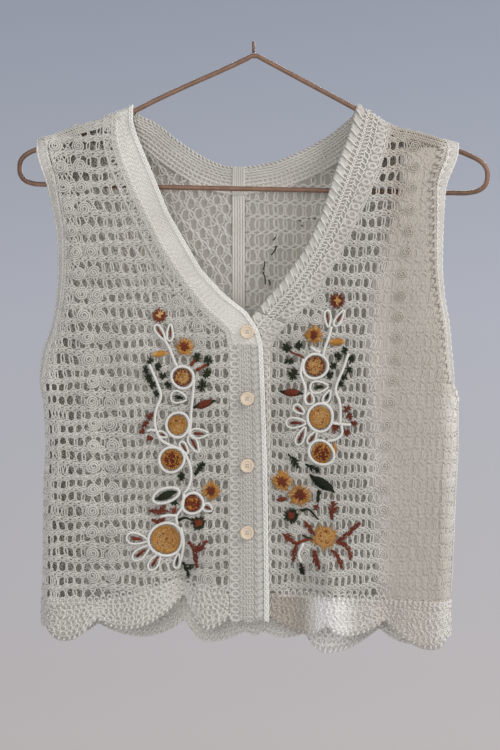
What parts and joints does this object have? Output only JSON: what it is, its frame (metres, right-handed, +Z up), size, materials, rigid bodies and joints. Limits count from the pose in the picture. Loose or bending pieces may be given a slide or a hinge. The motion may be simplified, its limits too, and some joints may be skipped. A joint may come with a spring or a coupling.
{
  "type": "embroidered waistcoat on a wire hanger",
  "caption": "Sleeveless openwork waistcoat with a V neck, buttoned opening, scalloped hem and embroidered fronts, hanging on a wire hanger with a small hook.",
  "frame": {"origin": "where a peg bears inside the hanger's hook", "axes": "+X to the wearer's left, +Y to the back of the garment, +Z up"},
  "size_m": [0.4441, 0.0562, 0.5798],
  "materials": {
    "lace": "openwork cotton crochet, matt cream",
    "band": "dense cotton crochet, matt ivory",
    "cord": "couched cotton cord, matt white",
    "button": "pale peach, satin",
    "wire": "copper brown coating, satin",
    "thread_green": "embroidery thread, soft sheen",
    "thread_rust": "embroidery thread, soft sheen",
    "thread_mustard": "embroidery thread, soft sheen"
  },
  "bodies": {
    "root": {"armhole_band_left": "band", "armhole_band_right": "band", "back_centre_band": "band", "back_left": "lace", "back_right": "lace", "button_1": "button", "button_2": "button", "button_3": "button", "button_4": "button", "cord_ring_a_left": "cord", "cord_ring_a_right": "cord", "cord_ring_b_left": "cord", "cord_ring_b_right": "cord", "cord_ring_c_left": "cord", "cord_ring_c_right": "cord", "cord_ring_d_right": "cord", "cord_ring_e_right": "cord", "cord_stem_left": "cord", "cord_stem_right": "cord", "flower_green_star_left": "thread_green", "flower_green_star_right": "thread_green", "flower_mustard_bud_left": "thread_mustard", "flower_mustard_bud_right": "thread_mustard", "flower_mustard_star_left": "thread_mustard", "flower_mustard_star_right": "thread_mustard", "flower_rim_flower_left": "thread_rust", "flower_ring_a_left": "thread_mustard", "flower_ring_a_right": "thread_mustard", "flower_ring_b_left": "thread_mustard", "flower_ring_b_right": "thread_mustard", "flower_ring_c_left": "thread_rust", "flower_ring_c_right": "thread_mustard", "flower_ring_d_right": "thread_rust", "flower_ring_e_right": "thread_mustard", "flower_rust_bud_right": "thread_rust", "flower_rust_star_left": "thread_rust", "flower_sun_flower_left": "thread_mustard", "front_left": "lace", "front_right": "lace", "hanger_frame": "wire", "hanger_hook": "wire", "hem_back": "band", "hem_front_left": "band", "hem_front_right": "band", "neckband_back": "band", "neckband_left": "band", "neckband_right": "band", "placket_top": "band", "placket_under": "band"}
  },
  "joints": []
}
